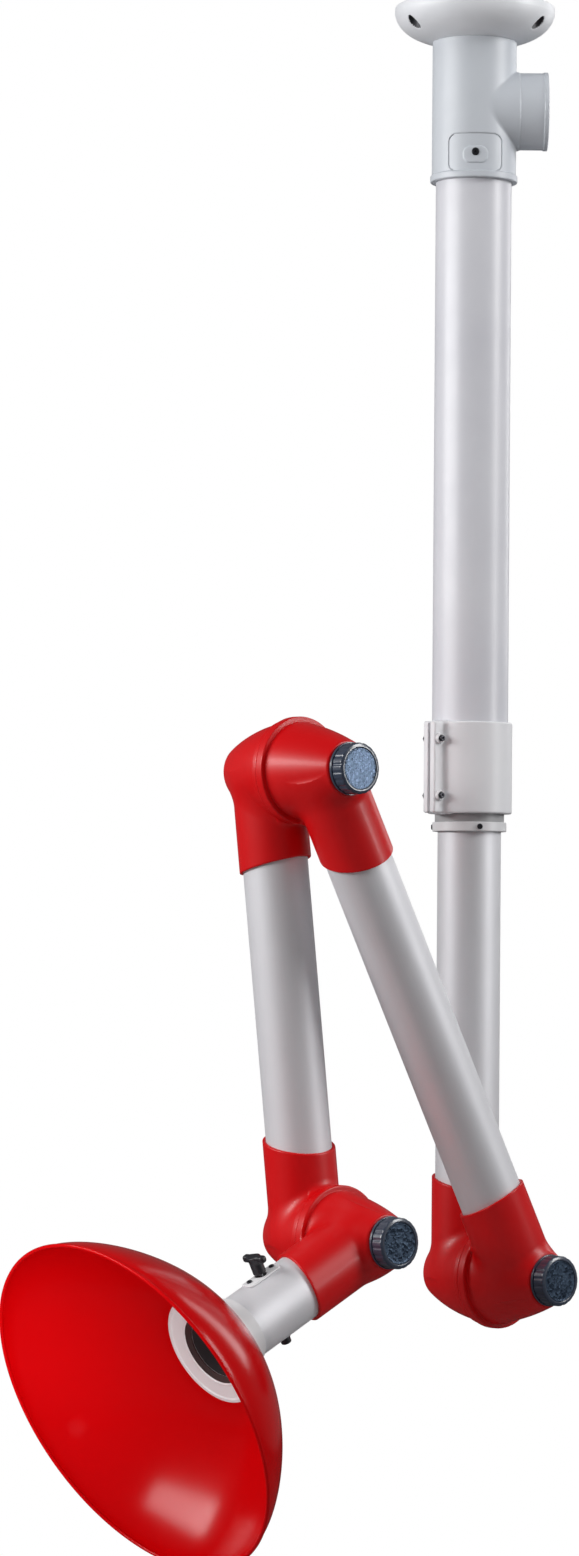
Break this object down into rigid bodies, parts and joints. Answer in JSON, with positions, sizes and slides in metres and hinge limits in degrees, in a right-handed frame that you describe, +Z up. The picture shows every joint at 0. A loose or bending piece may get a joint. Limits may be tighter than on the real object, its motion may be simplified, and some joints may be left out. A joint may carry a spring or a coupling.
{
  "type": "fume extraction arm",
  "caption": "Ceiling-hung fume extraction arm: telescopic swivelling column, jointed ducts with hand-tightened pivots, a shut-off damper and a round hood.",
  "frame": {"origin": "centre of the ceiling flange's mounting face", "axes": "+Z up out of the mounting face, the arm hangs along -Z and reaches to -X, with the tension knobs on the -Y side"},
  "size_m": [0.7739, 0.4066, 1.8017],
  "materials": {
    "collar_paint": "satin pale grey paint over a casting",
    "column_paint": "satin light grey paint on drawn tube",
    "dark_plastic": "moulded dark plastic",
    "dark_steel": "blackened steel",
    "duct_aluminium": "satin anodised, faint drawing lines along the tube",
    "flange_paint": "satin light grey paint over a casting",
    "friction_liner": "low-friction liner",
    "knob_plastic": "dark blue-black plastic with a fine spark grain",
    "pale_plastic": "moulded pale plastic",
    "red_hood": "red powder coat over spun aluminium",
    "red_housing": "moulded red plastic, satin to glossy",
    "steel": "zinc-plated steel",
    "tee_paint": "satin grey paint with soft edges"
  },
  "bodies": {
    "column": {"ceiling_flange": "flange_paint", "tee_body": "tee_paint", "tee_screws": "dark_steel", "outer_tube": "column_paint", "clamp_collar": "collar_paint", "clamp_screws": "dark_steel", "boss_washers": "pale_plastic", "clamp_nuts": "steel", "guide_bush": "pale_plastic", "stop_ring": "pale_plastic", "ring_screws": "dark_steel"},
    "slide_carriage": {"slide_guide_ring": "pale_plastic"},
    "drop_arm": {"drop_tube": "duct_aluminium", "retaining_rings": "steel", "shoulder_back_housing": "red_housing", "shoulder_friction_ring": "friction_liner", "shoulder_back_spider": "steel", "shoulder_pivot_bolt": "steel", "shoulder_disc_springs": "steel", "shoulder_lock_nut": "steel"},
    "first_arm": {"shoulder_front_housing": "red_housing", "shoulder_front_spider": "steel", "shoulder_knob_washer": "knob_plastic", "first_arm_tube": "duct_aluminium", "elbow_front_housing": "red_housing", "elbow_front_spider": "steel", "elbow_knob_washer": "knob_plastic"},
    "second_arm": {"elbow_back_housing": "red_housing", "elbow_friction_ring": "friction_liner", "elbow_back_spider": "steel", "elbow_pivot_bolt": "steel", "elbow_disc_springs": "steel", "elbow_lock_nut": "steel", "second_arm_tube": "duct_aluminium", "wrist_back_housing": "red_housing", "wrist_friction_ring": "friction_liner", "wrist_back_spider": "steel", "wrist_pivot_bolt": "steel", "wrist_disc_springs": "steel", "wrist_lock_nut": "steel"},
    "hood_arm": {"wrist_front_housing": "red_housing", "wrist_front_spider": "steel", "wrist_knob_washer": "knob_plastic", "hood_tube": "duct_aluminium", "hood": "red_hood", "hood_nozzle": "pale_plastic", "hood_rivets": "steel", "spindle_bushes": "dark_plastic", "damper_saddle": "pale_plastic", "saddle_screws": "dark_steel"},
    "damper": {"damper_spindle": "steel", "damper_blade": "steel", "damper_handle": "dark_plastic", "spindle_cap": "dark_plastic"},
    "shoulder_knob": {"shoulder_tension_knob": "knob_plastic"},
    "elbow_knob": {"elbow_tension_knob": "knob_plastic"},
    "wrist_knob": {"wrist_tension_knob": "knob_plastic"}
  },
  "joints": [
    {"name": "column_slide", "type": "slide", "parent": "column", "child": "slide_carriage", "axis": [0, 0, 1], "range_m": [-0.2, 0.38]},
    {"name": "column_swivel", "type": "hinge", "parent": "slide_carriage", "child": "drop_arm", "pos_m": [0, 0, -0.602], "axis": [0, 0, 1], "continuous": true},
    {"name": "shoulder_pivot", "type": "hinge", "parent": "drop_arm", "child": "first_arm", "pos_m": [0, -0.048, -1.502], "axis": [0, -1, 0], "range_deg": [-16, 100]},
    {"name": "elbow_pivot", "type": "hinge", "parent": "first_arm", "child": "second_arm", "pos_m": [-0.31575, -0.048, -0.91901], "axis": [0, 1, 0], "range_deg": [-9, 150]},
    {"name": "wrist_pivot", "type": "hinge", "parent": "second_arm", "child": "hood_arm", "pos_m": [-0.25073, -0.048, -1.45005], "axis": [0, 1, 0], "range_deg": [-80, 60]},
    {"name": "damper_turn", "type": "hinge", "parent": "hood_arm", "child": "damper", "pos_m": [-0.38437, -0.096, -1.51814], "axis": [-0.454, 0, 0.891], "range_deg": [0, 90]},
    {"name": "shoulder_knob_turn", "type": "hinge", "parent": "drop_arm", "child": "shoulder_knob", "pos_m": [0, -0.1438, -1.502], "axis": [0, -1, 0], "range_deg": [-180, 180]},
    {"name": "elbow_knob_turn", "type": "hinge", "parent": "second_arm", "child": "elbow_knob", "pos_m": [-0.31575, -0.1438, -0.91901], "axis": [0, -1, 0], "range_deg": [-180, 180]},
    {"name": "wrist_knob_turn", "type": "hinge", "parent": "second_arm", "child": "wrist_knob", "pos_m": [-0.25073, -0.1438, -1.45005], "axis": [0, -1, 0], "range_deg": [-180, 180]}
  ]
}
